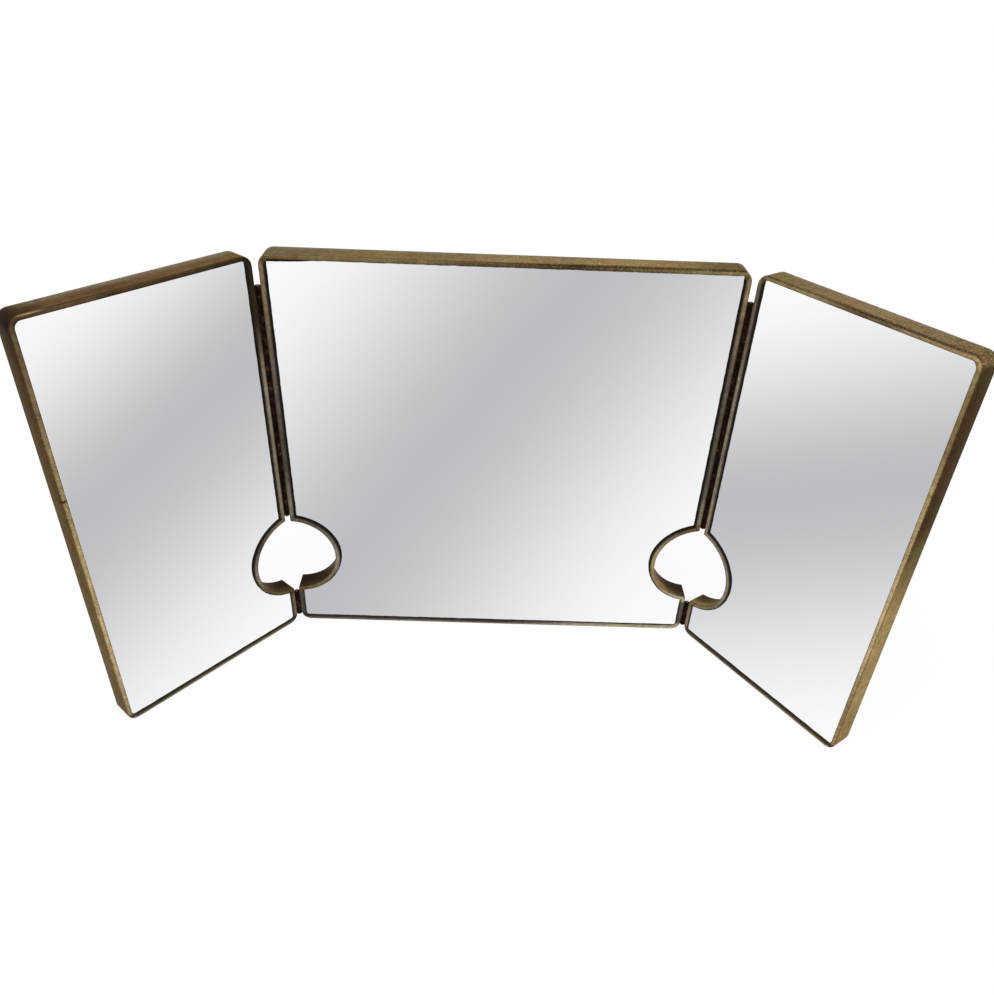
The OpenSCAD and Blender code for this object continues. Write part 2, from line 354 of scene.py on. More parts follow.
def new_finish(name):
    """A new material, whose sockets are at hand as its surface."""
    made = Finish(bpy.data.materials.new(name))
    made.surface = made.nodes["Principled BSDF"].inputs
    return made


def place_in_panel(finish, side):
    """Where a point lies in its panel's own space, in millimetres."""
    back = panel_space(side).inverted()
    mirrored = -1 if side == "left" else 1
    here = finish.node("TexCoord", {}, {}, out=3)
    return finish.node(
        "Mapping",
        {},
        {
            "Vector": here,
            "Scale": (mirrored / MM, 1 / MM, 1 / MM),
            "Rotation": (0, 0, fold.get(side, 0)),
            "Location": back.translation / MM,
        },
    )


# The tones of the brass, from dark to pale: its tarnish, and the light and shade painted onto the bar's faces
BRASS_TONES = {
    "near_black": "1d150c",
    "pit": "20170d",
    "recess_shade": "23211b",
    "flux": "2a170a",
    "arris_dark": "2a1f12",
    "umber": "33271a",
    "walnut": "463520",
    "slate": "4f4c42",
    "brown": "5c4a30",
    "chestnut": "5d4832",
    "stone": "625b4f",
    "moss": "64673f",
    "bronze": "6d5838",
    "russet": "6f563b",
    "drab": "6f6656",
    "olive": "7d6b47",
    "ash": "807a68",
    "ruddy": "865f48",
    "fawn": "8a7656",
    "taupe": "8f8473",
    "grey_sheen": "908779",
    "antique": "9a7f53",
    "straw": "ad9767",
    "chalk": "b3a98c",
    "pale": "bda67c",
    "bare": "e3cf98",
}


def brass_tone(name):
    return colour(BRASS_TONES[name])


def tone_stops(*stops):
    """Stops of a ramp, each a share of the way and the name of a brass tone."""
    return [(share, brass_tone(name)) for share, name in stops]


# Along each run of each loop, from the hinge side or from the bottom. A wall is a flat face of the bar, an
# edge is its thin face towards the front, and a ring is the arc round a finger opening.
# Besides the tarnish, these ramps hold painted light and shade: each face of the bar is paler or darker as
# light falls on it.
RUNS = {
    "center": {
        "top_wall": tone_stops((0.0, "drab"), (0.2, "olive"), (0.5, "fawn"), (0.8, "antique"), (0.95, "bronze")),
        "top_edge": tone_stops(
            (0.0, "bronze"), (0.3, "olive"), (0.45, "brown"), (0.65, "walnut"), (0.9, "olive")
        ),
        "top_arris_light_and_shade": tone_stops((0.0, "fawn"), (0.35, "olive"), (0.5, "brown"), (0.65, "umber"), (0.95, "brown")),
        "bottom_edge": tone_stops(
            (0.0, "drab"), (0.35, "ash"), (0.5, "drab"), (0.65, "taupe"), (0.8, "chalk"), (1.0, "chalk")
        ),
        "side_wall": tone_stops((0.0, "drab"), (1.0, "umber")),
        "side_edge": tone_stops((0.05, "slate"), (0.38, "ash"), (0.48, "slate"), (0.75, "stone"), (1.0, "fawn")),
        "ring_wall": tone_stops((0.0, "umber"), (0.4, "umber"), (0.8, "near_black")),
        "far_ring_wall": tone_stops(
            (0.0, "walnut"), (0.06, "brown"), (0.2, "antique"), (0.6, "antique"), (1.0, "brown")
        ),
        "ring_edge": tone_stops((0.0, "bronze"), (0.15, "fawn"), (0.4, "taupe"), (1.0, "stone")),
        "far_ring_edge": tone_stops(
            (0.0, "chalk"), (0.15, "fawn"), (0.5, "straw"), (0.85, "ash"), (1.0, "bronze")
        ),
    },
    "left": {
        "top_wall": tone_stops(
            (0.0, "russet"), (0.3, "russet"), (0.6, "chestnut"),
            (0.8, "russet"), (0.92, "walnut"), (1.0, "near_black"),
        ),
        "top_edge": tone_stops((0.0, "umber"), (0.6, "walnut"), (0.8, "brown"), (1.0, "walnut")),
        "top_arris_light_and_shade": tone_stops((0.0, "walnut"), (0.86, "brown"), (0.92, "pale"), (0.98, "brown")),
        "bottom_edge": tone_stops((0.0, "stone"), (0.15, "ash"), (0.6, "ash"), (0.9, "drab"), (1.0, "ash")),
        "hinge_edge": tone_stops((0.0, "drab"), (0.7, "taupe"), (0.85, "umber"), (1.0, "umber")),
        "side_wall": tone_stops(
            (0.0, "bronze"), (0.2, "olive"), (0.5, "bronze"),
            (0.7, "brown"), (0.9, "walnut"), (1.0, "near_black"),
        ),
        "side_edge": tone_stops((0.0, "fawn"), (0.15, "pale"), (0.5, "straw"), (0.75, "fawn"), (1.0, "brown")),
        "ring_wall": tone_stops((0.0, "walnut"), (0.4, "walnut"), (0.8, "near_black")),
        "ring_edge": tone_stops((0.0, "brown"), (0.2, "bronze"), (0.45, "ash"), (0.8, "slate"), (1.0, "drab")),
    },
    "right": {
        "top_wall": tone_stops((0.0, "olive"), (0.4, "fawn"), (0.8, "fawn"), (1.0, "bronze")),
        "top_edge": tone_stops((0.0, "olive"), (0.3, "fawn"), (0.5, "brown"), (0.7, "fawn"), (1.0, "straw")),
        "top_arris_light_and_shade": tone_stops((0.0, "brown"), (0.3, "olive"), (0.5, "walnut"), (0.9, "bronze"), (1.0, "straw")),
        "bottom_edge": tone_stops((0.0, "ash"), (0.3, "drab"), (0.6, "taupe"), (1.0, "fawn")),
        "hinge_edge": tone_stops((0.0, "taupe"), (0.6, "taupe"), (0.75, "ash"), (0.85, "stone"), (1.0, "stone")),
        "side_wall": tone_stops(
            (0.0, "antique"), (0.15, "straw"), (0.4, "straw"),
            (0.52, "olive"), (0.64, "walnut"), (1.0, "walnut"),
        ),
        "side_edge": tone_stops(
            (0.0, "antique"), (0.15, "fawn"), (0.35, "pale"),
            (0.7, "straw"), (0.85, "olive"), (1.0, "antique"),
        ),
        "ring_wall": tone_stops((0.0, "olive"), (0.5, "olive"), (0.8, "brown")),
        "ring_edge": tone_stops((0.0, "olive"), (0.3, "ash"), (1.0, "taupe")),
    },
}
# The height of the brazed joint in a wing's outer side, in millimetres, and how dark it is
braze_height = {"left": 243, "right": 281}
braze_dirt = {"left": 0.85, "right": 0.4}
# How far painted shade darkens the wall of the ring round a finger opening towards the back
ring_shade = {"center": 0.78, "left": 0.85, "right": 0.70}
# Between which shares of its width a loop's top comes to be speckled with clean metal; past 1 it never does
speckled = {"center": (0.2, 0.6), "left": (1.0, 2.0), "right": (-0.5, 1.5)}
# The depth in millimetres from which the top of a loop takes a painted grey sheen, and how strong it is
back_sheen = {"center": (13, 0.60), "left": (9, 0.62), "right": (12, 0.55)}
# Where the painted shade over the upper half of a loop's bottom edge is lighter, as shares of its width
bottom_less_shaded = {"center": (0.50, 0.75), "left": (1.5, 2.0), "right": (1.5, 2.0)}
# Where a painted band of shade lies behind the front edge of a loop's top, as shares of its width
front_shade_span = {"center": (0.45, 0.75), "left": (1.5, 2.0), "right": (0.1, 0.5)}


def from_outline(finish, side, place):
    """Distances in from a panel's straight sides and from each of its arcs, in millimetres."""
    x, y, z = finish.split(place)
    width = panel_width[side] / MM
    height = panel_height / MM
    straight = finish.least(finish.least(x, width - x), finish.least(z, height - z))
    rings = []
    for number, (radius, _, arc_height) in enumerate(ARCS[side]):
        middle = (arc_middle(side, number) / MM, 0, arc_height / MM)
        away = finish.node(
            "VectorMath", {"operation": "DISTANCE"}, {0: finish.stretched(place, (1, 0, 1)), 1: middle}, out=1
        )
        rings.append(away - radius / MM)
    return straight, rings


class Spot:
    """Where a point of a loop lies, in millimetres and in shares of its runs, and which sides it is near."""

    def __init__(self, finish, side):
        self.place = place_in_panel(finish, side)
        self.x, self.y, self.z = finish.split(self.place)
        self.straight, self.rings = from_outline(finish, side, self.place)
        self.width = panel_width[side] / MM
        self.height = panel_height / MM
        self.thick = bar_thickness / MM
        self.along = self.x / self.width
        self.up = self.z / self.height
        near = 1.2 * self.thick
        far = 2.6 * self.thick
        self.at_front = 1 - finish.rise(self.y, 0.2, 0.7)
        self.on_top = finish.rise(self.z, self.height - far, self.height - near)
        self.at_bottom = 1 - finish.rise(self.z, near, far)
        self.at_outer = finish.rise(self.x, self.width - far, self.width - near)


def top_wall_tint(finish, side, spot):
    """The top of a loop: a painted grey sheen towards the back, and a painted band of shade behind its front
    edge.
    """
    sheen_from, sheen_share = back_sheen[side]
    tint = finish.ramp(spot.along, RUNS[side]["top_wall"])
    # Painted sheen: the top turns grey towards its back, fading out near the outer end
    sheen = sheen_share * finish.rise(spot.y, sheen_from, 19) * (1 - finish.rise(spot.along, 0.86, 0.97))
    tint = finish.blend(sheen, tint, brass_tone("grey_sheen"))
    # Painted shade: a dark band just behind the front edge of the top
    line = finish.rise(spot.y, 0.2, 0.8) * (1 - finish.rise(spot.y, 1.5, 4.5))
    line = line * finish.rise(spot.along, *front_shade_span[side])
    return finish.blend(0.75 * line, tint, brass_tone("umber"))


def top_edge_tint(finish, side, spot):
    """The front edge along the top of a loop, with painted highlights and shade along its upper arris."""
    # A narrow band of painted highlight and shade just under the upper arris of the front edge
    return finish.blend(
        finish.rise(spot.z, spot.height - 1.5, spot.height - 0.8),
        finish.ramp(spot.along, RUNS[side]["top_edge"]),
        finish.ramp(spot.along, RUNS[side]["top_arris_light_and_shade"]),
    )


def bottom_edge_tint(finish, side, spot):
    """The front edge along the bottom of a loop, with painted shade over its upper half, next to the glass.
    """
    # Painted shade of the recess over the upper half of the bottom edge, lighter in one stretch
    recess_shade = 0.85 - 0.55 * finish.rise(spot.along, *bottom_less_shaded[side])
    tint = finish.ramp(spot.along, RUNS[side]["bottom_edge"])
    return finish.blend(recess_shade * finish.rise(spot.z, 1.4, 3.0), tint, brass_tone("recess_shade"))


def run_tints(finish, side, spot):
    """The tints of a loop's walls and of its front edges, run by run, before blotches and specks."""
    run = RUNS[side]
    walls = finish.ramp(spot.up, run["side_wall"])
    edges = finish.ramp(spot.up, run["side_edge"])
    if "hinge_edge" in run:
        edges = finish.blend(spot.at_outer, finish.ramp(spot.up, run["hinge_edge"]), edges)
    walls = finish.blend(spot.on_top, walls, top_wall_tint(finish, side, spot))
    edges = finish.blend(spot.at_bottom, edges, bottom_edge_tint(finish, side, spot))
    edges = finish.blend(spot.on_top, edges, top_edge_tint(finish, side, spot))

    inside_bar = spot.straight
    for number, ring in enumerate(spot.rings):
        radius, _, arc_height = ARCS[side][number]
        far = "far_" if number else ""
        ring_up = (spot.z - (arc_height - radius) / MM) / (2 * radius / MM)
        inside_bar = finish.least(inside_bar, ring)
        in_ring = 1 - finish.rise(ring, spot.thick + 1, spot.thick + 5)
        ring_wall = finish.ramp(ring_up, run[far + "ring_wall"])
        # Painted shade, deepening towards the back of the ring's wall
        ring_wall = finish.blend(ring_shade[side] * finish.rise(spot.y, 2, 11), ring_wall, brass_tone("near_black"))
        walls = finish.blend(in_ring, walls, ring_wall)
        edges = finish.blend(in_ring, edges, finish.ramp(ring_up, run[far + "ring_edge"]))

    # Painted dark lines along both arrises of each front edge, except at the bottom, leaving its middle
    # lighter
    inner_arris = 1 - finish.rise(inside_bar, spot.thick - 1.2, spot.thick - 0.2)
    edge_middle = finish.rise(inside_bar, 0.2, 1.2) * inner_arris
    edges = finish.blend(0.5 * (1 - edge_middle) * (1 - spot.at_bottom), edges, brass_tone("umber"))
    # Painted shade: the bar's inner walls, down in the recess beside the glass, are made near black
    inner_wall = finish.rise(inside_bar, 0.8 * spot.thick, 0.95 * spot.thick)
    walls = finish.blend(0.9 * inner_wall, walls, brass_tone("near_black"))
    return walls, edges


def frame_brass(side, dark_arrises=False):
    """Brass tarnished run by run, paler where handled, with painted shade browning the walls that look
    sideways.
    """
    finish = new_finish(side + ("_frame_arris" if dark_arrises else "_frame_brass"))
    spot = Spot(finish, side)
    place = spot.place
    walls, edges = run_tints(finish, side, spot)
    tint = finish.blend(spot.at_front, walls, edges)

    # Slow drift of the tarnish, blotches, drawing lines along the bar, and fine specks
    drift = finish.cloud(place, 34, detail=3)
    blotch = finish.cloud(place, 5, detail=4, roughness=0.65)
    drawn = finish.cloud(finish.stretched(place, (0.04, 1.0, 0.04)), 1.2, detail=3)
    speck = finish.cloud(place, 1.5, detail=2, roughness=0.6)
    lightness = 1 + 0.4 * (drift - 0.5) + 0.75 * (blotch - 0.5) + 0.35 * (drawn - 0.5) + 0.5 * (speck - 0.5)
    tint = finish.stretched(tint, finish.node("CombineXYZ", {}, {0: lightness, 1: lightness, 2: lightness}))
    ruddy = finish.rise(finish.cloud(place, 11, detail=4), 0.55, 0.80)
    greenish = finish.rise(finish.cloud(place, 18, detail=3), 0.60, 0.90)
    tint = finish.blend(0.45 * ruddy * (1 - spot.at_bottom), tint, brass_tone("ruddy"), way="COLOR")
    tint = finish.blend(0.45 * greenish, tint, brass_tone("moss"), way="COLOR")

    # Clean metal on the top and on the wings' outer sides, and black pits everywhere
    speckled_share = spot.on_top * finish.rise(spot.along, *speckled[side]) * (1 - 0.6 * spot.at_front)
    if side in braze_height:
        low = 1 - finish.rise(spot.up, 0.6, 0.9)
        speckled_share = speckled_share + spot.at_front * spot.at_outer * low
    dark_pits = 1 - finish.rise(speck, 0.06, 0.20)
    tint = finish.blend(0.65 * (finish.rise(speck, 0.62, 0.88) * speckled_share), tint, brass_tone("bare"))
    tint = finish.blend(0.55 * dark_pits, tint, brass_tone("pit"))
    # Painted reflection: the bevelled arrises are darkened into the thin dark line that a rounded edge shows
    if dark_arrises:
        tint = finish.blend(0.45, tint, brass_tone("arris_dark"))
    if side in braze_height:
        off_joint = spot.z - braze_height[side] + 5 * (blotch - 0.5) + 2 * (speck - 0.5)
        joint = 1 - finish.rise(finish.maths("ABSOLUTE", off_joint), 0.3, 1.9)
        joint = joint * spot.at_outer * (1 - finish.rise(spot.y, 1, 7))
        tint = finish.blend(braze_dirt[side] * joint, tint, brass_tone("flux"))

    finish.give(finish.surface["Base Color"], tint)
    finish.give(finish.surface["Metallic"], 0.85 - 0.3 * dark_pits)
    finish.give(finish.surface["Roughness"], 0.40 + 0.2 * (blotch - 0.5) + 0.2 * dark_pits)
    finish.surface["Specular Tint"].default_value = colour("b8ae9c")
    relief = finish.node(
        "Bump", {}, {"Strength": 0.3, "Distance": 0.0002, "Height": blotch + 0.5 * drawn + 0.6 * speck}
    )
    finish.give(finish.surface["Normal"], relief)
    return finish.owner


for side in panel_body:
    panel_frame(side)


# --- The mirror glasses ---
# Three millimetre silvered glass, cut to the inside of each loop with a round bite at each finger opening.
# It is let in from behind and held by its board. A painted dark line along its rim stands for the shade and
# reflection of the bar's inner wall.

edge_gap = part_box("center_mirror")[0].x - center_low.x - bar_thickness
glass_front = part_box("center_mirror")[0].y - center_low.y
glass_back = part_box("center_mirror")[1].y - center_low.y
glass_arris = 0.25 * MM
silver_pale = (0.962, 0.964, 0.968, 1)
silver_cool = (0.945, 0.949, 0.957, 1)
# How far the painted dark rim reaches in from the bottom of the glass, in millimetres
bottom_dark_rim = {"center": 1.0, "left": 1.1, "right": 1.6}


def mirror_silver(side):
    """Clean silvering, with a painted dark rim along the hinge side, the bottom and the openings, for the
    shade and reflection of the bar's inner wall.
    """
    finish = new_finish(side + "_silvering")
    place = place_in_panel(finish, side)
    x, _, z = finish.split(place)
    _, rings = from_outline(finish, side, place)
    rim = (bar_thickness + edge_gap) / MM
    wander = 0.5 * (finish.cloud(place, 9, detail=3) - 0.5)
    reaches = [(z, bottom_dark_rim[side])]
    for number, ring in enumerate(rings):
        arc_height = ARCS[side][number][2] / MM
        upper_half = finish.rise(z, arc_height - 25, arc_height + 20)
        above_opening = finish.rise(z, arc_height - 20, arc_height + 20)
        from_hinge_side = finish.maths("ABSOLUTE", x - hinge_sides(side)[number] / MM)
        reaches.append((from_hinge_side, 0.9 + 1.3 * above_opening))
        reaches.append((ring, 0.9 + 1.9 * upper_half))
    # On the centre glass a painted shadow also runs along the top, widest near the left end
    if side == "center":
        reaches.append((panel_height / MM - z, 0.3 + 1.6 * (1 - finish.rise(x, 15, 55))))
    clear = 1.0
    for reach, dark_rim in reaches:
        passed = reach - rim - dark_rim + wander
        clear = clear * finish.rise(passed, -0.25, 0.25)
    silver = finish.blend(0.5 * finish.cloud(place, 80), silver_pale, silver_cool)
    # Painted shade and reflection: near black where the dark rim reaches, silver elsewhere
    finish.give(finish.surface["Base Color"], finish.blend(clear, colour("0f0c08"), silver))
    finish.give(finish.surface["Metallic"], clear)
    finish.give(finish.surface["Roughness"], 0.65 - 0.65 * clear)
    finish.surface["Specular IOR Level"].default_value = 0.08
    return finish.owner


def glass_edge():
    """The ground edge of a glass, greenish and dull."""
    finish = new_finish("glass_edge")
    here = finish.node("TexCoord", {}, {}, out=3)
    chips = finish.cloud(here, 2 * MM)
    finish.give(finish.surface["Base Color"], finish.blend(chips, colour("4c5a52"), colour("8fa39a")))
    finish.surface["Roughness"].default_value = 0.25
    return finish.owner


ground_edge = glass_edge()
looks_sideways = 0.3
for side in panel_body:
    glass = panel_slab(side + "_glass", side, bar_thickness + edge_gap, glass_front, glass_back)
    glass.data.materials.append(mirror_silver(side))
    glass.data.materials.append(ground_edge)
    ease_edges(glass, glass_arris, 1)
    for face in glass.data.polygons:
        if abs(face.normal.y) < looks_sideways:
            face.material_index = 1
    set_in_place(glass, panel_space(side), panel_body[side])
    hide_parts(side + "_mirror")


# --- The felt sheets ---
# Thin green wool felt between each glass and its board. It takes up the unevenness of the board and is glued
# to both. Only its edge can be seen, and only when a board is off.

def felt_wool():
    finish = new_finish("felt_wool")
    here = finish.node("TexCoord", {}, {}, out=3)
    fluff = finish.cloud(here, 0.6 * MM, detail=4, roughness=0.7)
    matted = finish.cloud(here, 12 * MM)
    green = finish.blend(fluff, colour("1d2a1f"), colour("4b5f4a"))
    green = finish.blend(0.4 * matted, green, colour("2a3327"))
    finish.give(finish.surface["Base Color"], green)
    finish.surface["Roughness"].default_value = 0.95
    relief = finish.node("Bump", {}, {"Strength": 0.6, "Distance": 0.0003, "Height": fluff})
    finish.give(finish.surface["Normal"], relief)
    return finish.owner


felt_finish = felt_wool()
for side in panel_body:
    sheet = frame["nodes"][side + "_felt"]
    sheet.data.materials.clear()
    sheet.data.materials.append(felt_finish)


# --- The back boards ---
# Plywood, twelve millimetres thick, sawn to the loop's inside and let in behind the felt. The face veneer
# runs up and down. It has never been varnished, has gone brown, and is darker in patches towards the bar.

board_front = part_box("center_back_board")[0].y - center_low.y
board_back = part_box("center_back_board")[1].y - center_low.y
board_arris = 0.8 * MM
plies = 5


def plywood_veneer(side):
    finish = new_finish(side + "_veneer")
    place = place_in_panel(finish, side)
    x, y, _ = finish.split(place)
    wander = finish.cloud(finish.stretched(place, (1, 1, 0.12)), 60, detail=2)
    across = x + 22 * wander
    bands = finish.maths("SINE", 0.35 * across + 3 * wander)
    grain = finish.cloud(finish.stretched(place, (1.0, 1.0, 0.03)), 0.9, detail=4)
    pores = finish.rise(finish.cloud(finish.stretched(place, (1.6, 1.6, 0.09)), 0.7, detail=2), 0.70, 0.90)
    shade = 0.5 + 0.22 * bands + 0.35 * (grain - 0.5)
    wood = finish.ramp(shade, [(0.1, colour("7d5b3a")), (0.5, colour("a47f55")), (0.9, colour("c2a078"))])
    wood = finish.blend(0.45 * pores, wood, colour("5b3f26"))
    layers = finish.maths("SINE", y * (2 * math.pi * plies * MM / (board_back - board_front)))
    edge_wood = finish.blend(finish.rise(layers, -0.3, 0.3), colour("8a6844"), colour("bf9f75"))
    at_back = finish.rise(y, board_back / MM - 0.9, board_back / MM - 0.5)
    wood = finish.blend(at_back, edge_wood, wood)
    straight, rings = from_outline(finish, side, place)
    nearest = straight
    for ring in rings:
        nearest = finish.least(nearest, ring)
    darker_near_bar = (1 - finish.rise(nearest, 4, 26)) * finish.cloud(place, 14)
    wood = finish.blend(0.75 * darker_near_bar, wood, colour("3c2b1c"))
    stain = finish.rise(finish.cloud(place, 48, detail=4), 0.68, 0.95)
    wood = finish.blend(0.35 * stain, wood, colour("5d442b"))
    finish.give(finish.surface["Base Color"], wood)
    finish.give(finish.surface["Roughness"], 0.62 + 0.25 * (grain - 0.5))
    relief = finish.node("Bump", {}, {"Strength": 0.35, "Distance": 0.0002, "Height": grain - 1.2 * pores})
    finish.give(finish.surface["Normal"], relief)
    return finish.owner


for side in panel_body:
    board = panel_slab(side + "_board", side, bar_thickness + edge_gap, board_front, board_back)
    board.data.materials.append(plywood_veneer(side))
    ease_edges(board, board_arris, 2)
    set_in_place(board, panel_space(side), panel_body[side])
    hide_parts(side + "_back_board")


# --- The lugs and their wood screws ---
# Small brass plates with a round end, brazed to the inside of the bar and left dull. A slotted round-head
# brass screw through each holds the board, and has kept brighter.

def lug_metal():
    finish = new_finish("lug_brass")
    here = finish.node("TexCoord", {}, {}, out=3)
    blotch = finish.cloud(here, 3 * MM, detail=4)
    speck = finish.cloud(here, 0.7 * MM)
    brass = finish.ramp(blotch, [(0.1, colour("4b3a1f")), (0.55, colour("7d6537")), (0.9, colour("9f8650"))])
    brass = finish.blend(0.4 * finish.rise(speck, 0.7, 0.9), brass, colour("33261a"))
    finish.give(finish.surface["Base Color"], brass)
    finish.surface["Metallic"].default_value = 0.9
    finish.give(finish.surface["Roughness"], 0.35 + 0.25 * blotch)
    relief = finish.node("Bump", {}, {"Strength": 0.3, "Distance": 0.0001, "Height": speck})
    finish.give(finish.surface["Normal"], relief)
    return finish.owner


def screw_metal():
    finish = new_finish("screw_brass")
    here = finish.node("TexCoord", {}, {}, out=3)
    tarnish = finish.cloud(here, 1.6 * MM, detail=3)
    brass = finish.ramp(tarnish, [(0.1, colour("6b5228")), (0.55, colour("a98a4c")), (0.9, colour("c9ae6f"))])
    finish.give(finish.surface["Base Color"], brass)
    finish.surface["Metallic"].default_value = 1.0
    finish.give(finish.surface["Roughness"], 0.25 + 0.25 * tarnish)
    return finish.owner


def finished_copy(name, body, material, edge):
    """A copy of a node with whole faces for its triangles and with its edges broken, which stands for it."""
    copy = bpy.data.objects.new(name + "_finished", frame["nodes"][name].data.copy())
    bpy.context.collection.objects.link(copy)
    select_only(copy)
    bpy.ops.object.mode_set(mode="EDIT")
    bpy.ops.mesh.select_all(action="SELECT")
    bpy.ops.mesh.remove_doubles(threshold=same_point)
    bpy.ops.mesh.dissolve_limited(angle_limit=flat_within)
    bpy.ops.object.mode_set(mode="OBJECT")
    copy.data.materials.clear()
    copy.data.materials.append(material)
    ease_edges(copy, edge, 2)
    set_in_place(copy, Matrix.Identity(4), body)
    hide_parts(name)


flat_within = math.radians(1)
lug_edge = 0.2 * MM
screw_head_edge = 0.08 * MM
dull_brass = lug_metal()
turned_brass = screw_metal()
for side, body in panel_body.items():
    finished_copy(side + "_lugs", body, dull_brass, lug_edge)
    finished_copy(side + "_lug_screws", body, turned_brass, screw_head_edge)


# --- The hinges ---
# Two barrel hinges on each line, a long one above the finger opening and a short one below it, in nearly
# black brass. Each leaf is stamped with its knuckles, drilled and countersunk, and screwed to the
# bar's side. Steel wire runs through all the knuckles as a pin.

knuckle_length = 15 * MM
knuckle_gap = 0.12 * MM
knuckle_clearance = 0.06 * MM
knuckle_radius = axis_reach - knuckle_clearance
leaf_thickness = 0.8 * MM
leaf_inner = axis_reach - leaf_thickness
leaf_clearance = 0.3 * MM
leaf_front = math.sqrt(axis_reach ** 2 - leaf_inner ** 2) + leaf_clearance
leaf_back = 12 * MM
leaf_edge = 0.1 * MM
pin_clearance = 0.05 * MM
pin_edge = 0.05 * MM
pin_hole_radius = (pin_high.x - pin_low.x) / 2 + pin_clearance
barrel_segments = 48
hole_segments = 32
screw_from_end = 7 * MM
screw_spacing = 40 * MM
sink_radius = 1.95 * MM
sink_depth = 0.9 * MM
sink_overshoot = 0.1 * MM


def hinge_space(side, leaf):
    """The way from a leaf's own space, x from the axis to its panel, y back and z up, to the frame."""
    way = Matrix.Translation((hinge_axis.x, hinge_axis.y, 0))
    if leaf == "center":
        way = way @ Matrix.Scale(-1, 4, (1, 0, 0))
    else:
        way = way @ Matrix.Rotation(-fold[side], 4, "Z")
    return way if side == "right" else Matrix.Scale(-1, 4, (1, 0, 0)) @ way


def block(low, high):
    """A block between two corners, as a start for a leaf."""
    low, high = Vector(low), Vector(high)
    bpy.ops.object.select_all(action="DESELECT")
    bpy.ops.mesh.primitive_cube_add(size=1, location=(low + high) / 2)
    made = bpy.context.object
    made.scale = high - low
    bpy.ops.object.transform_apply(location=True, rotation=True, scale=True)
    return made


def repeat(piece, count, step):
    select_only(piece)
    row = piece.modifiers.new("row", "ARRAY")
    row.count = count
    row.use_relative_offset = False
    row.use_constant_offset = True
    row.constant_offset_displace = step
    bpy.ops.object.modifier_apply(modifier=row.name)


def weld(piece, other):
    """Makes two pieces one, and takes the other away."""
    select_only(piece)
    joint = piece.modifiers.new("joint", "BOOLEAN")
    joint.operation = "UNION"
    joint.solver = "EXACT"
    joint.object = other
    bpy.ops.object.modifier_apply(modifier=joint.name)
    bpy.data.objects.remove(other)


def countersinks(low, high):
    """The countersunk holes of one leaf, as one tool: a cone for each screw."""
    spread = high - low - 2 * screw_from_end
    count = max(2, 1 + round(spread / screw_spacing))
    depth_middle = leaf_inner + (sink_depth - sink_overshoot) / 2
    bpy.ops.object.select_all(action="DESELECT")
    bpy.ops.mesh.primitive_cone_add(
        vertices=hole_segments,
        radius1=sink_radius + sink_overshoot,
        radius2=sink_radius - sink_depth,
        depth=sink_depth + sink_overshoot,
        location=(depth_middle, (leaf_front + leaf_back) / 2, low + screw_from_end),
        rotation=(0, math.pi / 2, 0),
    )
    cones = bpy.context.object
    bpy.ops.object.transform_apply(location=True, rotation=True, scale=True)
    repeat(cones, count, (0, 0, spread / (count - 1)))
    return cones


def hinge_leaf(side, level, leaf, material):
    """A leaf: a plate with every other knuckle welded on, bored for the pin and countersunk."""
    node = side + "_" + level + "_hinge_" + leaf + "_leaf"
    low, high = (corner.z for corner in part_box(side + "_" + level + "_hinge_center_leaf"))
    count = 2 * max(1, round(((high - low) / knuckle_length - 1) / 2)) + 1
    pitch = (high - low) / count
    first = 0 if leaf == "center" else 1
    bottom = low + first * pitch + knuckle_gap / 2
    top = bottom + pitch - knuckle_gap
    knuckles = block((leaf_inner, 0, bottom), (axis_reach, leaf_front + leaf_thickness, top))
    bpy.ops.mesh.primitive_cylinder_add(
        vertices=barrel_segments,
        radius=knuckle_radius,
        depth=top - bottom,
        location=(0, 0, (bottom + top) / 2),
    )
    weld(knuckles, bpy.context.object)
    repeat(knuckles, len(range(first, count, 2)), (0, 0, 2 * pitch))
    plate = block((leaf_inner, leaf_front, low), (axis_reach, leaf_back, high))
    weld(plate, knuckles)
    bpy.ops.mesh.primitive_cylinder_add(
        vertices=hole_segments,
        radius=pin_hole_radius,
        depth=2 * (high - low),
        location=(0, 0, (low + high) / 2),
    )
    cut_away(plate, bpy.context.object)
    cut_away(plate, countersinks(low, high))
    plate.name = side + "_" + level + "_" + leaf + "_leaf"
    plate.data.materials.append(material)
    ease_edges(plate, leaf_edge, 1)
    set_in_place(plate, hinge_space(side, leaf), panel_body["center" if leaf == "center" else side])
    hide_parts(node)


def hinge_metal():
    """Near black, with browner blotches and a few paler specks."""
    finish = new_finish("hinge_brass")
    here = finish.node("TexCoord", {}, {}, out=3)
    blotch = finish.cloud(here, 5 * MM, detail=4)
    speck = finish.cloud(here, 0.8 * MM)
    dark_to_brown = ((0.1, "0c0604"), (0.5, "1a100b"), (0.75, "2d1f14"), (0.95, "56452c"))
    brass = finish.ramp(blotch, [(share, colour(code)) for share, code in dark_to_brown])
    brass = finish.blend(0.30 * finish.rise(speck, 0.75, 0.95), brass, colour("7d6439"))
    finish.give(finish.surface["Base Color"], brass)
    finish.surface["Metallic"].default_value = 0.85
    finish.surface["Specular IOR Level"].default_value = 0.15
    finish.surface["Specular Tint"].default_value = colour("a07850")
    finish.give(finish.surface["Roughness"], 0.5 + 0.2 * (blotch - 0.5))
    relief = finish.node("Bump", {}, {"Strength": 0.3, "Distance": 0.0001, "Height": speck})
    finish.give(finish.surface["Normal"], relief)
    return finish.owner


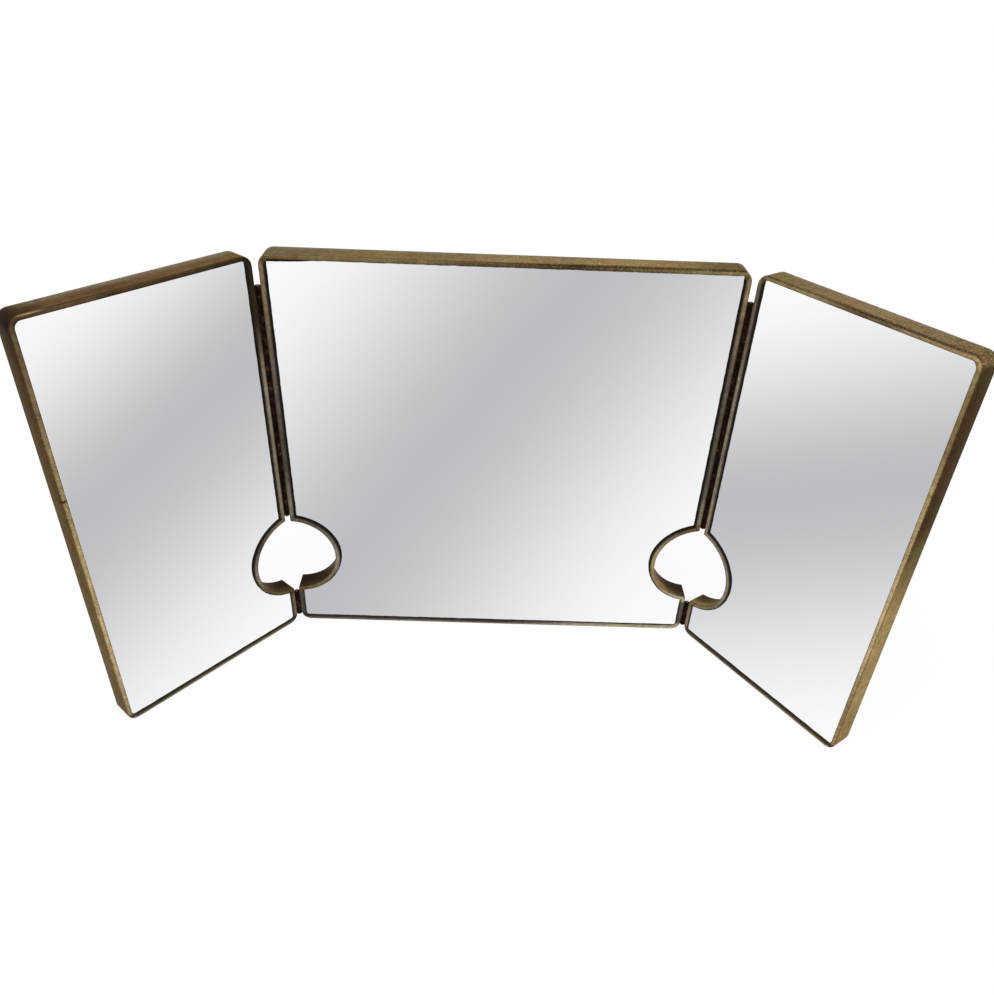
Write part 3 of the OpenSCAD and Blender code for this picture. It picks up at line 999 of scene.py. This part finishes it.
def pin_metal():
    finish = new_finish("pin_steel")
    here = finish.node("TexCoord", {}, {}, out=3)
    rust = finish.cloud(here, 1.2 * MM, detail=3)
    steel = finish.ramp(rust, [(0.2, colour("6f6a64")), (0.6, colour("5b4c3f")), (0.9, colour("4a2e1c"))])
    finish.give(finish.surface["Base Color"], steel)
    finish.surface["Metallic"].default_value = 0.9
    finish.give(finish.surface["Roughness"], 0.3 + 0.3 * rust)
    return finish.owner


dark_brass = hinge_metal()
wire = pin_metal()
for side in ("left", "right"):
    for level in ("upper", "lower"):
        hinge_leaf(side, level, "center", dark_brass)
        hinge_leaf(side, level, "wing", dark_brass)
        finished_copy(side + "_" + level + "_hinge_pin", "center_panel", wire, pin_edge)
    finished_copy(side + "_hinge_center_screws", "center_panel", turned_brass, pin_edge)
    finished_copy(side + "_hinge_wing_screws", panel_body[side], turned_brass, pin_edge)


# --- The table and the light ---
# A plain white table under soft studio light. What the mirrors face is a pale room with one grey band in each
# direction, so that each glass shades from white through grey to white, as in the photograph.

table_size = 60
table_below = 0.1 * MM
bpy.ops.mesh.primitive_plane_add(size=table_size, location=(0, 0, -table_below))
table = bpy.context.object
table.name = "table_top"
table_white = new_finish("table_white")
from_mirror = table_white.node(
    "VectorMath", {"operation": "LENGTH"}, {0: table_white.node("TexCoord", {}, {}, out=3)}, out=1
)
glow = table_white.node("Emission", {}, {"Color": (1, 1, 1, 1), "Strength": 1.0})
matt = table_white.node("BsdfDiffuse", {}, {"Color": (0.92, 0.92, 0.92, 1)})
# The camera sees plain white, and close to the mirror a little of the table's own shading with its shadow
for_camera = table_white.node("LightPath", {}, {})
plain_white = for_camera * (0.88 + 0.12 * table_white.rise(from_mirror, 0.35, 0.9))
shown = table_white.node("MixShader", {}, {0: plain_white, 1: matt, 2: glow})
table_white.give(table_white.nodes["Material Output"].inputs["Surface"], shown)
table.data.materials.append(table_white.owner)

# The mirrors show the room, and neither one another nor the table
for piece in bpy.context.scene.objects:
    if piece.type == "MESH":
        piece.visible_glossy = False

sky = Finish(bpy.data.worlds.new("studio"))
bpy.context.scene.world = sky.owner
paths = sky.node("LightPath", {}, {}).socket.node.outputs
to_camera = Tone(sky, paths["Is Camera Ray"])
to_gloss = Tone(sky, paths["Is Glossy Ray"])
toward = sky.node("TexCoord", {}, {}, out=0)
east, north, _ = sky.split(toward)


# The grey band that each glass faces: the way across it, then where its middle and its two ends lie on it
BANDS = {
    "center": ((0.774, 0.271, -0.572), 0.02, -0.275, 0.35),
    "left": ((-0.459, 0.681, -0.571), -0.275, -0.46, -0.01),
    "right": ((0.596, -0.332, -0.731), -0.112, -0.35, 0.17),
}
room_white = (1.0, 1.0, 1.0, 1)
room_grey = (0.527, 0.536, 0.562, 1)


def in_band(side):
    """1 in the middle of the grey band that a glass faces, and 0 outside it."""
    across, middle, near_end, far_end = BANDS[side]
    passed = sky.node("VectorMath", {"operation": "DOT_PRODUCT"}, {0: toward, 1: across}, out=1)
    outside = (1 - sky.rise(passed, near_end, middle)) + sky.rise(passed, middle, far_end)
    return 1 - outside


beside_left = sky.rise(east, 0.32, 0.6)
beside_right = sky.rise(-east, 0.32, 0.6)
before = sky.rise(-north, 0.4, 0.68) * (1 - beside_left) * (1 - beside_right)
greyness = before * in_band("center") + beside_left * in_band("left") + beside_right * in_band("right")
room = sky.blend(greyness, room_white, room_grey)
light_level = 0.78
plain = sky.blend(to_gloss, (light_level, light_level, light_level, 1), room)
backdrop = sky.blend(to_camera, plain, (1, 1, 1, 1))
sky.give(sky.nodes["Background"].inputs["Color"], backdrop)

lamp_distance = 2.2
for name, side_degrees, up_degrees, size, power in (
    ("key", -35, 55, 1.8, 22),
    ("fill", 40, 40, 2.2, 10),
):
    sideways = math.radians(side_degrees)
    upwards = math.radians(up_degrees)
    way = Vector((
        math.sin(sideways) * math.cos(upwards),
        -math.cos(sideways) * math.cos(upwards),
        math.sin(upwards),
    ))
    bpy.ops.object.light_add(type="AREA", location=lamp_distance * way)
    lamp = bpy.context.object
    lamp.name = name
    lamp.data.size = size
    lamp.data.energy = power
    lamp.rotation_euler = way.to_track_quat("Z", "Y").to_euler()

camera_place = (-0.01268, -0.67516, 0.61388)
camera_pitch = -0.5968
camera_yaw = -0.0195
camera_roll = -0.0423
focal_pixels = 842.04
picture_height = 995
sensor_width = 36
bpy.ops.object.camera_add(location=camera_place)
camera = bpy.context.object
camera_turn = (
    Matrix.Rotation(camera_yaw, 4, "Z")
    @ Matrix.Rotation(camera_pitch, 4, "X")
    @ Matrix.Rotation(camera_roll, 4, "Y")
    @ Matrix.Rotation(math.pi / 2, 4, "X")
)
camera.matrix_world = Matrix.Translation(camera_place) @ camera_turn
camera.data.sensor_width = sensor_width
camera.data.lens = sensor_width * focal_pixels / picture_height
camera.data.clip_start = 0.01
bpy.context.scene.camera = camera
bpy.context.scene.view_settings.view_transform = "Standard"
